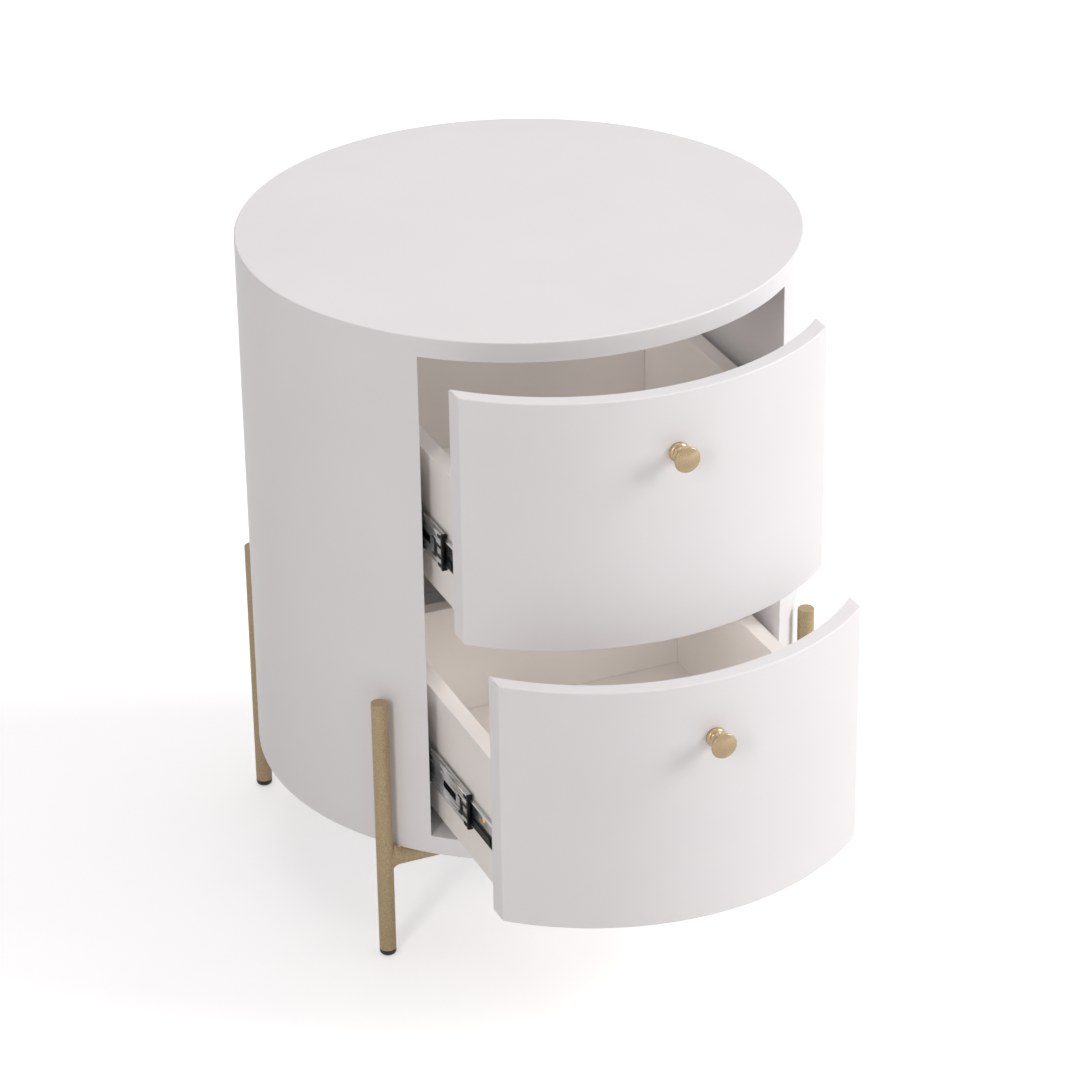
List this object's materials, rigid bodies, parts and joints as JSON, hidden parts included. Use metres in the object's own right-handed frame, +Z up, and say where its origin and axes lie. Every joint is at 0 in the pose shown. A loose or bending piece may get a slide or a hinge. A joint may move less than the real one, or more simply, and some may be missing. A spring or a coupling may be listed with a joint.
{
  "type": "nightstand with drawers",
  "caption": "Round white bedside cabinet with bow-front drawers on ball slides, small gold knobs and a gold rod-leg base.",
  "frame": {"origin": "on the floor below the cabinet's axis", "axes": "+Z up, front towards -Y, +X to the right seen from the front"},
  "size_m": [0.495, 0.6698, 0.602],
  "materials": {
    "white_lacquer": "satin white lacquer on smooth board",
    "drawer_board": "satin warm white lacquer on drawer board",
    "gold_metal": "satin champagne gold",
    "zinc_steel": "bright zinc plate",
    "bright_screws": "bright zinc plate",
    "black_plastic": "matte black moulded plastic",
    "foot_rubber": "black rubber, slightly shiny",
    "dowel_wood": "plain fluted hardwood"
  },
  "bodies": {
    "cabinet": {"back_left_foot": "foot_rubber", "back_left_leg": "gold_metal", "back_rail": "gold_metal", "back_right_foot": "foot_rubber", "back_right_leg": "gold_metal", "bottom_panel": "white_lacquer", "front_left_foot": "foot_rubber", "front_left_leg": "gold_metal", "front_rail": "gold_metal", "front_right_foot": "foot_rubber", "front_right_leg": "gold_metal", "left_side_panel": "white_lacquer", "lower_left_outer_slide": "zinc_steel", "lower_right_outer_slide": "zinc_steel", "panel_dowels": "dowel_wood", "rail_screws": "bright_screws", "right_side_panel": "white_lacquer", "shell": "white_lacquer", "top_panel": "white_lacquer", "upper_left_outer_slide": "zinc_steel", "upper_right_outer_slide": "zinc_steel"},
    "upper_drawer": {"upper_drawer_back": "drawer_board", "upper_drawer_base": "drawer_board", "upper_drawer_dowels": "dowel_wood", "upper_drawer_front": "white_lacquer", "upper_drawer_left_side": "drawer_board", "upper_drawer_right_side": "drawer_board", "upper_knob": "gold_metal", "upper_knob_screw": "bright_screws", "upper_left_inner_slide": "zinc_steel", "upper_right_inner_slide": "zinc_steel", "upper_slide_levers": "black_plastic"},
    "upper_middle_slides": {"upper_left_middle_slide": "zinc_steel", "upper_right_middle_slide": "zinc_steel", "upper_slide_end_caps": "black_plastic"},
    "upper_outer_cages": {"upper_slide_outer_cages": "zinc_steel"},
    "upper_inner_cages": {"upper_slide_inner_cages": "zinc_steel"},
    "lower_drawer": {"lower_drawer_back": "drawer_board", "lower_drawer_base": "drawer_board", "lower_drawer_dowels": "dowel_wood", "lower_drawer_front": "white_lacquer", "lower_drawer_left_side": "drawer_board", "lower_drawer_right_side": "drawer_board", "lower_knob": "gold_metal", "lower_knob_screw": "bright_screws", "lower_left_inner_slide": "zinc_steel", "lower_right_inner_slide": "zinc_steel", "lower_slide_levers": "black_plastic"},
    "lower_middle_slides": {"lower_left_middle_slide": "zinc_steel", "lower_right_middle_slide": "zinc_steel", "lower_slide_end_caps": "black_plastic"},
    "lower_outer_cages": {"lower_slide_outer_cages": "zinc_steel"},
    "lower_inner_cages": {"lower_slide_inner_cages": "zinc_steel"}
  },
  "joints": [
    {"name": "upper_drawer_slide", "type": "slide", "parent": "cabinet", "child": "upper_drawer", "axis": [0, -1, 0], "range_m": [-0.0816, 0.2084]},
    {"name": "upper_outer_cages_run", "type": "slide", "parent": "cabinet", "child": "upper_outer_cages", "axis": [0, -1, 0], "range_m": [-0.02448, 0.06252]},
    {"name": "upper_middle_slides_run", "type": "slide", "parent": "cabinet", "child": "upper_middle_slides", "axis": [0, -1, 0], "range_m": [-0.04896, 0.12504]},
    {"name": "upper_inner_cages_run", "type": "slide", "parent": "cabinet", "child": "upper_inner_cages", "axis": [0, -1, 0], "range_m": [-0.06528, 0.16672]},
    {"name": "lower_drawer_slide", "type": "slide", "parent": "cabinet", "child": "lower_drawer", "axis": [0, -1, 0], "range_m": [-0.1542, 0.1358]},
    {"name": "lower_outer_cages_run", "type": "slide", "parent": "cabinet", "child": "lower_outer_cages", "axis": [0, -1, 0], "range_m": [-0.04626, 0.04074]},
    {"name": "lower_middle_slides_run", "type": "slide", "parent": "cabinet", "child": "lower_middle_slides", "axis": [0, -1, 0], "range_m": [-0.09252, 0.08148]},
    {"name": "lower_inner_cages_run", "type": "slide", "parent": "cabinet", "child": "lower_inner_cages", "axis": [0, -1, 0], "range_m": [-0.12336, 0.10864]}
  ],
  "couplings": [
    {"joint": "upper_outer_cages_run", "follows": "upper_drawer_slide", "ratio": 0.3},
    {"joint": "upper_middle_slides_run", "follows": "upper_drawer_slide", "ratio": 0.6},
    {"joint": "upper_inner_cages_run", "follows": "upper_drawer_slide", "ratio": 0.8},
    {"joint": "lower_outer_cages_run", "follows": "lower_drawer_slide", "ratio": 0.3},
    {"joint": "lower_middle_slides_run", "follows": "lower_drawer_slide", "ratio": 0.6},
    {"joint": "lower_inner_cages_run", "follows": "lower_drawer_slide", "ratio": 0.8}
  ]
}
